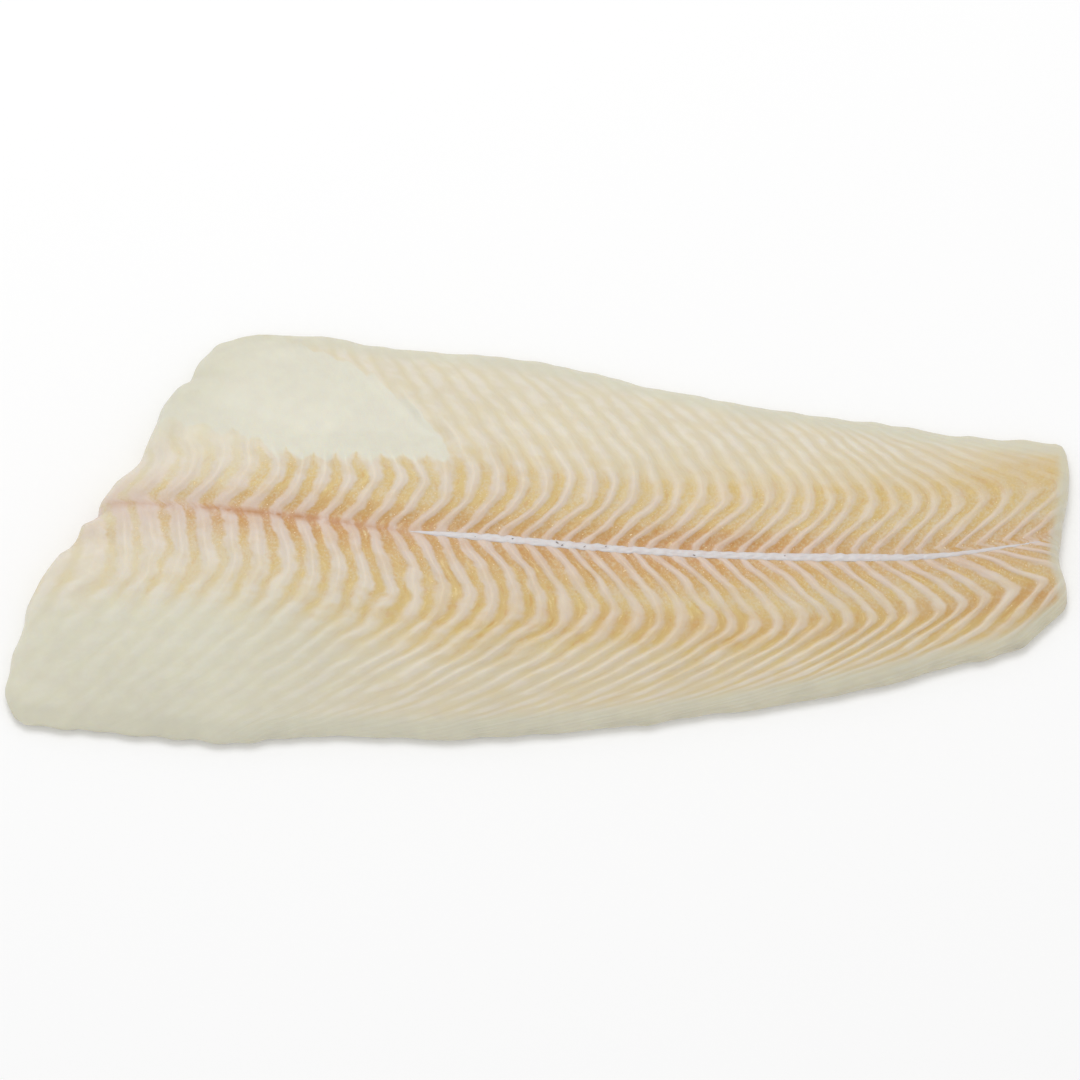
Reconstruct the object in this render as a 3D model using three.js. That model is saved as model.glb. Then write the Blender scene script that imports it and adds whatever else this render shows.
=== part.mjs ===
// A raw, skinless side of Greenland halibut, lying flat with its inner face up.
// One solid: +X runs to the tail, +Y to the belly edge, -Y to the back edge, +Z up, table at z = 0.
// The muscle is built in bands that meet along thin W-shaped lines of white tissue (septa).
// The mesh runs along those lines, so each line is a low ridge in the surface.
import * as THREE from 'three';
import { mergeVertices } from 'three/addons/utils/BufferGeometryUtils.js';

// ---- outline seen from above, millimetres; each pair is [along, across] ----
const BELLY_EDGE = [
  [-100.7, 79.2], [-85, 78.6], [-70.8, 76.7], [-54.6, 73.7], [-20.2, 70.6], [1, 67.7],
  [41.4, 58.3], [77.6, 50.7], [120.8, 44.1], [161.9, 38.2], [186.9, 36.2],
];
const BACK_EDGE = [
  [-180.5, -71.6], [-146.9, -74.7], [-105.4, -78.2], [-74.9, -76.1], [-33.5, -76.9],
  [22.7, -73.2], [72.1, -66.4], [114.7, -58.5], [150.5, -49.1], [166.5, -45], [172.5, -42.3],
  [178.9, -36.8], [185.5, -31.4], [188, -28.2], [189.2, -24.9],
];
// For the lines the back edge runs straight on past the rounded corner by the tail.
const BACK_EDGE_RUN_ON = [...BACK_EDGE.slice(0, 10), [192, -38.5]];
const MIDLINE = [
  [-189, 11.9], [-158, 8.6], [-83.4, 1.3], [-48.6, -3.7], [-12.9, -6.9], [22.8, -9.9],
  [58.5, -11.8], [94, -12.5], [128.8, -12.1], [146.7, -10.6], [168.6, -6.8], [190.6, -2.5],
];
// The cuts run across the fish, so these pairs are [across, along].
// The steps in the head cut are where the knife left one muscle band for the next.
const HEAD_CUT = [
  [-71.8, -180], [-68.6, -184.4], [-60.3, -187.3], [-45.6, -185.2], [-33.8, -182],
  [-27.8, -180.8], [-14, -174.9], [-7.8, -169.8], [-5.5, -165.9], [-2, -163.7], [2, -163.2],
  [6, -157.5], [11, -156.5], [17, -152.6], [29, -141], [34, -139.6], [45.3, -136],
  [57, -129.3], [59.5, -125.4], [65, -123.2], [74.3, -115.3], [77.5, -108.8], [79.2, -100.7],
];
const TAIL_CUT = [
  [-25.8, 189], [-22, 188.9], [-18, 188.7], [-9, 186.9],
  [4, 188.8], [17, 190.8], [30, 191.5], [34.4, 189.8], [36.2, 186.9],
];
const HEAD_CUT_REACH = [-195, -90]; // the stretch of the fish that each cut lies in
const TAIL_CUT_REACH = [150, 195];

// ---- thickness ----
const CREST_HEIGHT = [
  [-190, 14], [-150, 18], [-90, 20.5], [-30, 20], [40, 18], [110, 15], [190, 10],
];
const EDGE_HEIGHT = 3; // of the thin rim all round
const SECTION_FULLNESS = 2.4; // the higher, the flatter the top of a cross-section
const SECTION_SHOULDER = 0.75; // the lower, the steeper its two sides
const GROOVE_DEPTH = 0.09; // share of the height lost along the midline
const GROOVE_WIDTH = 6;
const FLAP_DROP = 0.16; // share lost where the gut cavity was
const HEAD_CUT_ROUND = 13; // how far in the cut edge slopes away
const TAIL_CUT_ROUND = 7;
const BASE_INSET = 1.6; // the rim overhangs the table by this much
const SWELL = 0.45; // the soft unevenness of the flesh
const SWELL_LENGTHS = [31, 47, 19, 67]; // of its two crossing waves, each over 2 pi

// ---- muscle bands: [number of a line, where it meets the midline] ----
const LINE_STARTS = [
  [-6, -229], [0, -158.9], [4, -119], [8, -83.8], [13, -42.9], [18, -4.1], [24, 41.1],
  [29, 79.8], [34, 121.1], [40, 170.4], [50, 250.5],
];
const LINE_NUMBERS = [-4, 47]; // the first and last that reach into the outline

// ---- muscle bands: the shape of a line, by the place it starts from ----
// shift: how far along it comes out beside the midline, over the first few millimetres
// rise: millimetres towards the tail for each one outwards from the midline
// turn: how far from the midline it bends back; bow: how wide the bend is
// lean: millimetres towards the head for each one outwards, past the bend
// curl: how far it runs back where it goes round under the edge
const BELLY_LINE = {
  shift: [
    [-150, -10], [-120, -7], [-90, -2.8], [-30, -1], [0, -3.4], [60, -3.7], [110, -3], [135, -5.2],
    [155, -8],
  ],
  rise: [[-120, 1.55], [-60, 1], [0, 1.45], [60, 1.55], [120, 1.05], [170, 1.5]],
  turn: [[-110, 11.2], [-50, 16.3], [20, 21], [140, 21]],
  bow: [[-60, 8.3], [30, 13.2], [120, 4]],
  lean: [[-110, 0.3], [-60, 0.46], [0, 0.85], [60, 0.9], [100, 0.85], [150, 1.45], [190, 2.1]],
  curl: [[-60, 0], [0, 3], [60, 6]],
};
const BACK_LINE = {
  shift: [[-60, 0], [0, 0.7], [120, 0.1], [170, 1.1]],
  rise: [[-120, 0.31], [-60, 0.54], [0, 0.8], [60, 1], [120, 1.25], [170, 1.85]],
  turn: [[-110, 24.4], [-50, 27.9], [20, 27.3], [80, 24.6], [140, 17.8]],
  bow: [[-80, 12.2], [0, 7.2], [80, 3]],
  lean: [[-120, 0.95], [-60, 1.3], [0, 1.6], [120, 1.6], [180, 1.1]],
  curl: [[-60, 5], [0, 22], [60, 40]],
};
const SHIFT_REACH = 3;
const CURL_POWER = 12; // the higher, the closer to the edge the curl starts
const REACH_BACK = 120; // no line gets further than this from its start
const REACH_ON = 45;

// ---- relief of the lines, and where smooth tissue hides them ----
const SEPTUM_RIDGE = 0.85; // height of a line above the muscle beside it
const RIDGE_SHARE = 0.3; // of a band's width
const RIM_FADE = [0.66, 0.9]; // share of the way from the midline to an edge
const SEAM_FADE = [0.5, 3]; // from the midline, where a flat ribbon of tissue hides the lines' ends
const LINING_START = [[-150, 48], [-120, 36], [-95, 28], [-84, 24]]; // along the fish
const LINING_END = [[25, -18], [48, -42], [62, -58], [78, -84]]; // across the fish
const LINING_FADE = 12;
const LINING_HIDES = 0.92;
const NAPE_FADE = { across: [-18, -40], along: [-40, -120] };
const NAPE_HIDES = 0.75;

// ---- mesh ----
const STEPS_PER_BAND = 3;
const ROWS_PER_SIDE = 19;
const ROW_CROWDING = 0.72; // 0 spaces the rows evenly, 1 gathers them at the edges
const RIM_STEPS = [0, 0.6, 2, 4.4]; // from each cut inwards
const SNAP = 0.9; // a line ends on the rim when it comes this close
const SAME_POINT = 1e-3;

// Smooth curve through pairs of (place, value) that never overshoots them.
function curveAt(pairs, place) {
  const last = pairs.length - 1;
  if (place <= pairs[0][0]) return pairs[0][1];
  if (place >= pairs[last][0]) return pairs[last][1];
  let i = 0;
  while (pairs[i + 1][0] < place) i += 1;
  const rise = (j) => (pairs[j + 1][1] - pairs[j][1]) / (pairs[j + 1][0] - pairs[j][0]);
  const slope = (j) => {
    if (j === 0) return rise(0);
    if (j === last) return rise(last - 1);
    const before = rise(j - 1);
    const after = rise(j);
    return before * after <= 0 ? 0 : (2 * before * after) / (before + after);
  };
  const width = pairs[i + 1][0] - pairs[i][0];
  const u = (place - pairs[i][0]) / width;
  const start = pairs[i][1] * (1 + 2 * u) + slope(i) * width * u;
  const end = pairs[i + 1][1] * (3 - 2 * u) - slope(i + 1) * width * (1 - u);
  return start * (1 - u) ** 2 + end * u ** 2;
}

function smooth(from, to, value) {
  const u = Math.min(1, Math.max(0, (value - from) / (to - from)));
  return u * u * (3 - 2 * u);
}

// The place between low and high where isBefore stops being true.
function halve([low, high], isBefore) {
  const middle = (low + high) / 2;
  if (high - low < 1e-6) return middle;
  return halve(isBefore(middle) ? [middle, high] : [low, middle], isBefore);
}

// across is -1 on the back edge, 0 on the midline and 1 on the belly edge.
function rowY(x, across) {
  const middle = curveAt(MIDLINE, x);
  const edge = curveAt(across > 0 ? BELLY_EDGE : BACK_EDGE, x);
  return middle + Math.abs(across) * (edge - middle);
}

function cutX(cut, reach, across) {
  return halve(reach, (x) => x < curveAt(cut, rowY(x, across)));
}

function fromMidline(x, across) {
  const edge = curveAt(across > 0 ? BELLY_EDGE : BACK_EDGE_RUN_ON, x);
  return Math.abs(across * (edge - curveAt(MIDLINE, x)));
}

// A line slants out from the midline, bends, slants back and runs in under the edge.
// Lines between the septa, with fractions for numbers, follow the same shape.
function lineX(line, across) {
  const start = curveAt(LINE_STARTS, line);
  const shape = across > 0 ? BELLY_LINE : BACK_LINE;
  const [shift, rise, turn, bow, lean, curl] = ['shift', 'rise', 'turn', 'bow', 'lean', 'curl']
    .map((name) => curveAt(shape[name], start));
  const under = curl * Math.abs(across) ** CURL_POWER;
  return halve([start - REACH_BACK, start + REACH_ON], (x) => {
    const away = fromMidline(x, across);
    const bend = Math.hypot(away - turn, bow) - Math.hypot(turn, bow);
    const out = ((rise - lean) / 2) * away - ((rise + lean) / 2) * bend;
    return x < start + shift * smooth(0, SHIFT_REACH, away) + out - under;
  });
}

function lineAt(x, across) {
  return halve([LINE_NUMBERS[0] - 2, LINE_NUMBERS[1] + 2], (line) => lineX(line, across) < x);
}

// The smooth lining of the gut cavity, over the belly side behind the head cut.
function liningShare(x, y) {
  const start = curveAt(LINING_START, x);
  const end = curveAt(LINING_END, y);
  return smooth(start, start + LINING_FADE, y) * smooth(end, end - LINING_FADE, x);
}

function napeShare(x, y) {
  return smooth(...NAPE_FADE.across, y) * smooth(...NAPE_FADE.along, x);
}

function ridge(line) {
  return 1 - RIDGE_SHARE - smooth(0, RIDGE_SHARE, Math.abs(line - Math.round(line)));
}

function relief(x, y, across, line) {
  const rim = 1 - smooth(...RIM_FADE, Math.abs(across));
  const seam = smooth(...SEAM_FADE, fromMidline(x, across));
  const bare = (1 - LINING_HIDES * liningShare(x, y)) * (1 - NAPE_HIDES * napeShare(x, y));
  return SEPTUM_RIDGE * ridge(line) * rim * seam * bare;
}

function swell(x, y) {
  const [a, b, c, d] = SWELL_LENGTHS;
  return SWELL * Math.sin(x / a + y / b) * Math.sin(y / c - x / d);
}

function rounding(distance, reach) {
  const u = Math.min(1, Math.max(0, distance / reach));
  return Math.sqrt(1 - (1 - u) ** 2);
}

function topHeight(x, y, across, line, fromHead, fromTail) {
  const share = Math.min(1, Math.abs(across));
  const section = (1 - share ** SECTION_FULLNESS) ** SECTION_SHOULDER;
  const groove = 1 - GROOVE_DEPTH * Math.exp(-(((y - curveAt(MIDLINE, x)) / GROOVE_WIDTH) ** 2));
  const flap = 1 - FLAP_DROP * liningShare(x, y);
  const ends = rounding(fromHead, HEAD_CUT_ROUND) * rounding(fromTail, TAIL_CUT_ROUND);
  const body = (curveAt(CREST_HEIGHT, x) - EDGE_HEIGHT) * groove * flap + swell(x, y);
  return EDGE_HEIGHT + (body * section + relief(x, y, across, line)) * ends;
}

// Distance along a row for one millimetre straight in from a slanting cut.
function slant(cut, y) {
  const step = 3;
  return Math.hypot(1, (curveAt(cut, y + step) - curveAt(cut, y - step)) / (2 * step));
}

// One row of the top, from the head cut to the tail cut. Between the two rims it has a point
// on each line and at even steps between the lines.
function rowPoints(across) {
  const head = cutX(HEAD_CUT, HEAD_CUT_REACH, across);
  const tail = cutX(TAIL_CUT, TAIL_CUT_REACH, across);
  const headSlant = slant(HEAD_CUT, rowY(head, across));
  const tailSlant = slant(TAIL_CUT, rowY(tail, across));
  const point = (x, line) => {
    const y = rowY(x, across);
    const fromHead = (x - head) / headSlant;
    const fromTail = (tail - x) / tailSlant;
    return new THREE.Vector3(x, y, topHeight(x, y, across, line, fromHead, fromTail));
  };
  const rimPoint = (x) => point(x, lineAt(x, across));
  const headRim = RIM_STEPS.map((step) => rimPoint(head + step * headSlant));
  const tailRim = RIM_STEPS.map((step) => rimPoint(tail - step * tailSlant));
  const first = headRim[headRim.length - 1];
  const final = tailRim[tailRim.length - 1];
  const between = [];
  for (let n = LINE_NUMBERS[0] * STEPS_PER_BAND; n <= LINE_NUMBERS[1] * STEPS_PER_BAND; n += 1) {
    const line = n / STEPS_PER_BAND;
    const x = lineX(line, across);
    if (x < first.x + SNAP) between.push(first);
    else if (x > final.x - SNAP) between.push(final);
    else between.push(point(x, line));
  }
  return [...headRim, ...between, ...tailRim.reverse()];
}

function topRows() {
  const rows = [];
  for (let n = -ROWS_PER_SIDE; n <= ROWS_PER_SIDE; n += 1) {
    const even = n / ROWS_PER_SIDE;
    const crowded = Math.sin((Math.PI / 2) * even);
    rows.push(rowPoints(even + (crowded - even) * ROW_CROWDING));
  }
  return rows;
}

// The rows' ends and the two edges, once round, without neighbours on one point.
function borderOf(rows) {
  const round = [
    ...rows[0],
    ...rows.slice(1).map((row) => row[row.length - 1]),
    ...[...rows[rows.length - 1]].reverse().slice(1),
    ...rows.slice(1, -1).reverse().map((row) => row[0]),
  ];
  return round.filter((p, n) => p.distanceTo(round[(n + round.length - 1) % round.length]) > SAME_POINT);
}

// Straight in towards the middle and down to the table.
function footOf(border) {
  return border.map((p) => {
    const scale = 1 - BASE_INSET / Math.hypot(p.x, p.y);
    return new THREE.Vector3(p.x * scale, p.y * scale, 0);
  });
}

function filletGeometry() {
  const corners = [];
  const triangle = (a, b, c) => {
    const sides = [a.distanceTo(b), b.distanceTo(c), c.distanceTo(a)];
    if (Math.min(...sides) > SAME_POINT) corners.push(a, b, c);
  };

  const rows = topRows();
  for (let r = 0; r + 1 < rows.length; r += 1) {
    for (let n = 0; n + 1 < rows[r].length; n += 1) {
      const [a, b, c, d] = [rows[r][n], rows[r][n + 1], rows[r + 1][n + 1], rows[r + 1][n]];
      const splits = a.distanceTo(c) < b.distanceTo(d) ? [[a, b, c], [a, c, d]] : [[a, b, d], [b, c, d]];
      splits.forEach((split) => triangle(...split));
    }
  }

  const border = borderOf(rows);
  const foot = footOf(border);
  border.forEach((p, n) => {
    const next = (n + 1) % border.length;
    triangle(p, foot[n], foot[next]);
    triangle(p, foot[next], border[next]);
  });
  const flat = foot.map((p) => new THREE.Vector2(p.x, p.y));
  for (const [a, b, c] of THREE.ShapeUtils.triangulateShape(flat, [])) {
    triangle(foot[c], foot[b], foot[a]);
  }

  const geometry = new THREE.BufferGeometry().setFromPoints(corners);
  geometry.computeBoundingBox();
  const box = geometry.boundingBox;
  geometry.translate(-(box.min.x + box.max.x) / 2, -(box.min.y + box.max.y) / 2, -box.min.z);
  const merged = mergeVertices(geometry, SAME_POINT / 10);
  merged.computeVertexNormals();
  return merged;
}

function rawFlesh() {
  return new THREE.MeshStandardMaterial({ color: '#ded2ad', roughness: 0.4, metalness: 0 });
}

function makeFillet() {
  const fillet = new THREE.Mesh(filletGeometry(), rawFlesh());
  fillet.name = 'fillet';
  return fillet;
}

const part = new THREE.Group();
part.add(makeFillet());

export default part;
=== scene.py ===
import math

import bpy
import numpy as np
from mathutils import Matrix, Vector, noise


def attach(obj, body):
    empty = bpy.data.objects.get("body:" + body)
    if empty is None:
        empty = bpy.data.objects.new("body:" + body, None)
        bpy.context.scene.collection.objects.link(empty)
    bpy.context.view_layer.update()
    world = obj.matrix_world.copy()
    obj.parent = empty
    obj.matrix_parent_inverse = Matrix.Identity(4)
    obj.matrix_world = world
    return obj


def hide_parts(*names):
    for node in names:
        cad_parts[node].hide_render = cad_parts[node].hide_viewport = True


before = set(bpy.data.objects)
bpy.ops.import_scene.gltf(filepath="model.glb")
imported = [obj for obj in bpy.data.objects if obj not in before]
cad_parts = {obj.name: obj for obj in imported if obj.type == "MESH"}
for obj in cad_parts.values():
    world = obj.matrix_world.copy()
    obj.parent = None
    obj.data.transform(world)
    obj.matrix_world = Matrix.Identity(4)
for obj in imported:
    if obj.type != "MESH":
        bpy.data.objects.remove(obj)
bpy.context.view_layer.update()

# A raw, skinless side of Greenland halibut, lying flat with its inner face up.
# +X runs to the tail, +Y to the belly edge, -Y to the back edge, +Z up. Sizes in the
# dictionaries are millimetres, and mm turns them into Blender's metres.
mm = 0.001

# The shape of the flesh. Edges and the midline are (along, across), the cuts (across, along).
flesh = {
    "bellyEdge": [
        (-100.7, 79.2), (-85, 78.6), (-70.8, 76.7), (-54.6, 73.7), (-20.2, 70.6), (1, 67.7),
        (41.4, 58.3), (77.6, 50.7), (120.8, 44.1), (161.9, 38.2), (186.9, 36.2),
    ],
    "backEdge": [
        (-180.5, -71.6), (-146.9, -74.7), (-105.4, -78.2), (-74.9, -76.1), (-33.5, -76.9),
        (22.7, -73.2), (72.1, -66.4), (114.7, -58.5), (150.5, -49.1), (166.5, -45),
        (172.5, -42.3), (178.9, -36.8), (185.5, -31.4), (188, -28.2), (189.2, -24.9),
    ],
    "backEdgeCorner": 10,        # how many of its points come before the corner by the tail
    "backEdgeRunOn": (192, -38.5),  # where it would end without that corner
    "midline": [
        (-189, 11.9), (-158, 8.6), (-83.4, 1.3), (-48.6, -3.7), (-12.9, -6.9), (22.8, -9.9),
        (58.5, -11.8), (94, -12.5), (128.8, -12.1), (146.7, -10.6), (168.6, -6.8), (190.6, -2.5),
    ],
    "headCut": [
        (-71.8, -180), (-68.6, -184.4), (-60.3, -187.3), (-45.6, -185.2), (-33.8, -182),
        (-27.8, -180.8), (-14, -174.9), (-7.8, -169.8), (-5.5, -165.9), (-2, -163.7),
        (2, -163.2), (6, -157.5), (11, -156.5), (17, -152.6), (29, -141), (34, -139.6),
        (45.3, -136), (57, -129.3), (59.5, -125.4), (65, -123.2), (74.3, -115.3),
        (77.5, -108.8), (79.2, -100.7),
    ],
    "tailCut": [
        (-25.8, 189), (-22, 188.9), (-18, 188.7), (-9, 186.9), (4, 188.8), (17, 190.8),
        (30, 191.5), (34.4, 189.8), (36.2, 186.9),
    ],
    "headCutReach": (-195, -90),
    "tailCutReach": (150, 195),
    "slantReach": 3,             # how much of a cut says how slanting it is
    "crestHeight": [
        (-190, 14), (-150, 18), (-90, 20.5), (-30, 20), (40, 18), (110, 15), (190, 10),
    ],
    "edgeHeight": 3,
    "sectionFullness": 2.4,      # the higher, the flatter the top of a cross-section
    "sectionShoulder": 0.75,     # the lower, the steeper its two sides
    "grooveDepth": 0.09,         # share of the height lost along the midline
    "grooveWidth": 6,
    "flapDrop": 0.16,            # share lost where the gut cavity was
    "headCutRound": 13,
    "tailCutRound": 7,
    "swell": 0.45,               # of the whole top, and the lengths of its waves
    "swellLengths": (31, 47, 19, 67),
    # in bands, from each line
    "columnsInBand": (-0.42, -0.28, -0.17, -0.08, 0, 0.08, 0.17, 0.28),
    "rowsPerSide": 52,
    "rowCrowding": 0.72,         # 0 spaces the rows evenly, 1 gathers them at the edges
    "rimSteps": (0, 0.3, 0.8, 1.6, 2.8, 4.4),  # from each cut inwards
    "snap": 0.4,                 # a column this close to the rim goes into it
    "weld": 0.05,                # points closer than this are merged
    # down the side: (in from the outline, share of the rim's height)
    "wallSteps": [(0.1, 0.82), (0.3, 0.6), (0.6, 0.36), (1.0, 0.15), (1.6, 0)],
    "edgeStray": 1.1,            # how far the outline strays, and over what length
    "edgeLength": 9,
    "edgeReach": 7,              # from a cut inwards
    "edgePower": 8,              # the higher, the closer to the edge it stays
    "edgeLeast": 0.01,           # share of the stray under which there is none
    "edgeLayers": (0, 5),        # of the noise, along and across
    "uneven": 0.35,              # soft dents, and how wide they are
    "unevenSize": 16,
    "pores": 0.1,
    "poreSize": 2.6,
    "dentsFrom": 1.02,           # of the rim's height
    "skinHeights": (0.3, 2),     # where the skinned side ends on the wall
    "smoothAngle": 60,
}

# The muscle bands. A line between two bands meets the midline at its start, and its
# shape goes by that place. shift: how far along it comes out beside the midline; rise:
# millimetres towards the tail for each one outwards; turn: how far from the midline it bends
# back; bow: how wide the bend is; lean: millimetres towards the head for each one outwards,
# past the bend; curl: how far it runs back where it goes round under the edge.
bands = {
    "starts": [
        (-6, -229), (0, -158.9), (4, -119), (8, -83.8), (13, -42.9), (18, -4.1), (24, 41.1),
        (29, 79.8), (34, 121.1), (40, 170.4), (50, 250.5),
    ],
    "lineNumbers": (-4, 47),
    "spareLines": 2,             # looked for past both ends
    "belly": {
        "shift": [
            (-150, -10), (-120, -7), (-90, -2.8), (-30, -1), (0, -3.4), (60, -3.7), (110, -3),
            (135, -5.2), (155, -8),
        ],
        "rise": [(-120, 1.55), (-60, 1), (0, 1.45), (60, 1.55), (120, 1.05), (170, 1.5)],
        "turn": [(-110, 11.2), (-50, 16.3), (20, 21), (140, 21)],
        "bow": [(-60, 8.3), (30, 13.2), (120, 4)],
        "lean": [
            (-110, 0.3), (-60, 0.46), (0, 0.85), (60, 0.9), (100, 0.85), (150, 1.45), (190, 2.1),
        ],
        "curl": [(-60, 0), (0, 3), (60, 6)],
    },
    "back": {
        "shift": [(-60, 0), (0, 0.7), (120, 0.1), (170, 1.1)],
        "rise": [(-120, 0.31), (-60, 0.54), (0, 0.8), (60, 1), (120, 1.25), (170, 1.85)],
        "turn": [(-110, 24.4), (-50, 27.9), (20, 27.3), (80, 24.6), (140, 17.8)],
        "bow": [(-80, 12.2), (0, 7.2), (80, 3)],
        "lean": [(-120, 0.95), (-60, 1.3), (0, 1.6), (120, 1.6), (180, 1.1)],
        "curl": [(-60, 5), (0, 22), (60, 40)],
    },
    "shiftReach": 3,
    "curlPower": 12,             # the higher, the closer to the edge the curl starts
    "reachBack": 120,            # no line gets further than this from its start
    "reachOn": 45,
    # how far a line strays, in bands; swings for each band; length of a swing along the line
    "wander": [(0.26, 0.6, 8), (0.05, 1.7, 3)],
    "ridge": 0.7,                # height of a line above the muscle beside it
    "ridgeReach": [(0, 0.27), (14, 0.3), (30, 0.36)],  # share of a band, by mm from the midline
    "rimFade": (0.66, 0.9),      # share of the way to the edge
    "seamFade": (0.5, 3),
    # the gut cavity's smooth lining: its inner side as (along, across), its end as (across, along)
    "liningStart": [(-150, 48), (-120, 36), (-95, 28), (-84, 24)],
    "liningEnd": [(25, -18), (48, -42), (62, -58), (78, -84)],
    "liningFade": 12,
    "liningHides": 0.92,         # share of a ridge that it covers
    "napeAcross": (-18, -40),
    "napeAlong": (-40, -120),
    "napeHides": 0.75,
    # how plain the lines are: rows of a distance from the midline and (along, share)
    "plainBelly": [
        (0, [(-110, 0.9), (100, 0.9), (140, 0.15), (180, 0.1)]),
        (3.5, [(-110, 0.9), (100, 0.9), (180, 0.85)]),
        (9, [(-110, 0.9), (60, 0.9), (180, 0.85)]),
        (17, [(-110, 0.95), (-60, 1.1), (20, 1.1), (60, 0.95), (180, 0.75)]),
        (24, [(-110, 0.75), (-60, 1.05), (20, 1.1), (60, 0.85), (140, 0.5), (170, 0.2)]),
        (30, [(-110, 0.5), (-60, 0.8), (20, 1), (60, 0.52), (140, 0.42), (170, 0.15)]),
        (36, [(-60, 0.5), (-30, 0.85), (20, 0.85), (60, 0.55), (140, 0.55), (175, 0.3)]),
        (46, [(-60, 0.7), (60, 0.9), (140, 1), (180, 0.6)]),
        (70, [(-60, 0.9), (60, 1), (180, 1)]),
    ],
    "plainBack": [
        (0, [(-150, 1), (180, 0.95)]),
        (9, [(-110, 1), (0, 1.05), (60, 1), (180, 1)]),
        (17, [(-110, 0.95), (-30, 1.1), (20, 0.95), (60, 0.85), (180, 1)]),
        (25, [(-110, 0.8), (-30, 1.1), (60, 0.95), (180, 0.8)]),
        (33, [(-180, 1), (-60, 0.9), (60, 0.8), (180, 1.05)]),
        (43, [(-180, 1), (-30, 0.75), (60, 0.85), (100, 1.2), (180, 1.3)]),
        (60, [(-180, 1), (-30, 0.85), (60, 1.2), (180, 1.3)]),
    ],
}


def curveAt(pairs, place):
    # smooth curve through pairs of (place, value) that never overshoots them
    places, values = np.array(pairs, float).T
    place = np.clip(place, places[0], places[-1])
    rise = np.diff(values) / np.diff(places)
    before, after = rise[:-1], rise[1:]
    turns = before * after <= 0
    inner = 2 * before * after / np.where(turns, 1, before + after)
    slope = np.concatenate([rise[:1], inner, rise[-1:]])
    slope[1:-1][turns] = 0
    i = np.clip(np.searchsorted(places, place, side="right") - 1, 0, len(rise) - 1)
    width = places[i + 1] - places[i]
    u = (place - places[i]) / width
    start = values[i] * (1 + 2 * u) + slope[i] * width * u
    end = values[i + 1] * (3 - 2 * u) - slope[i + 1] * width * (1 - u)
    return start * (1 - u) ** 2 + end * u ** 2


def smooth(low, high, value):
    u = np.clip((value - low) / (high - low), 0, 1)
    return u * u * (3 - 2 * u)


def zoneAt(rows, x, away):
    # between the two nearest rows of a table, each read at its place along the fish
    value = curveAt(rows[0][1], x)
    for (near, _), (far, curve) in zip(rows, rows[1:]):
        value = value + (curveAt(curve, x) - value) * smooth(near, far, away)
    return value


def bothSides(tables, name, x, away, across):
    sides = [zoneAt(tables[name + side], x, away) for side in ("Belly", "Back")]
    return np.where(across > 0, *sides)


halvings = 34                    # of a range, until the place in it is exact to a micrometre


def halve(low, high, isBefore):
    # the place between low and high where isBefore stops being true
    for _ in range(halvings):
        middle = (low + high) / 2
        before = isBefore(middle)
        low = np.where(before, middle, low)
        high = np.where(before, high, middle)
    return (low + high) / 2


def rowY(x, across):
    # across is -1 on the back edge, 0 on the midline and 1 on the belly edge
    middle = curveAt(flesh["midline"], x)
    edge = np.where(across > 0, curveAt(flesh["bellyEdge"], x), curveAt(flesh["backEdge"], x))
    return middle + np.abs(across) * (edge - middle)


def cutX(cut, reach, across):
    low, high = (np.full(across.shape, float(end)) for end in reach)
    return halve(low, high, lambda x: x < curveAt(cut, rowY(x, across)))


def fromMidline(x, across):
    # for the lines the back edge runs straight on past the rounded corner by the tail
    runOn = flesh["backEdge"][:flesh["backEdgeCorner"]] + [flesh["backEdgeRunOn"]]
    edge = np.where(across > 0, curveAt(flesh["bellyEdge"], x), curveAt(runOn, x))
    return np.abs(across * (edge - curveAt(flesh["midline"], x)))


def lineX(line, across):
    start = curveAt(bands["starts"], line)

    def side(name):
        both = [curveAt(bands[edge][name], start) for edge in ("belly", "back")]
        return np.where(across > 0, *both)

    shift, rise, turn, bow, lean, curl = (side(name) for name in bands["belly"])
    under = curl * np.abs(across) ** bands["curlPower"]

    def beforeLine(x):
        away = fromMidline(x, across)
        bend = np.hypot(away - turn, bow) - np.hypot(turn, bow)
        out = (rise - lean) / 2 * away - (rise + lean) / 2 * bend
        return x < start + shift * smooth(0, bands["shiftReach"], away) + out - under

    return halve(start - bands["reachBack"], start + bands["reachOn"], beforeLine)


def lineAt(x, across):
    x, across = np.broadcast_arrays(x, across)
    low, high = (np.full(x.shape, float(end)) for end in bands["lineNumbers"])
    spare = bands["spareLines"]
    return halve(low - spare, high + spare, lambda line: lineX(line, across) < x)


def wandered(line, away, across):
    # the real lines stray a little to either side of their course
    out = away * np.sign(across)
    for amount, perBand, length in bands["wander"]:
        spots = zip((line * perBand).ravel(), (out / length).ravel())
        stray = np.array([noise.noise(Vector((a, b, length))) for a, b in spots])
        line = line + amount * stray.reshape(line.shape)
    return line


def liningShare(x, y, edges):
    start = curveAt(edges["liningStart"], x)
    end = curveAt(edges["liningEnd"], y)
    fade = edges["liningFade"]
    return smooth(start, start + fade, y) * smooth(end, end - fade, x)


def napeShare(x, y):
    return smooth(*bands["napeAcross"], y) * smooth(*bands["napeAlong"], x)


def ridgeHeight(x, y, across, line):
    away = np.abs(y - curveAt(flesh["midline"], x))
    reach = curveAt(bands["ridgeReach"], away)
    peak = 1 - smooth(0, 1, np.abs(line - np.round(line)) / reach) - reach
    rim = 1 - smooth(*bands["rimFade"], np.abs(across))
    seam = smooth(*bands["seamFade"], away)
    bare = 1 - bands["liningHides"] * liningShare(x, y, bands)
    bare = bare * (1 - bands["napeHides"] * napeShare(x, y))
    return bands["ridge"] * peak * rim * seam * bare * bothSides(bands, "plain", x, away, across)


def rounding(distance, reach):
    u = np.clip(distance / reach, 0, 1)
    return np.sqrt(1 - (1 - u) ** 2)


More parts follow.
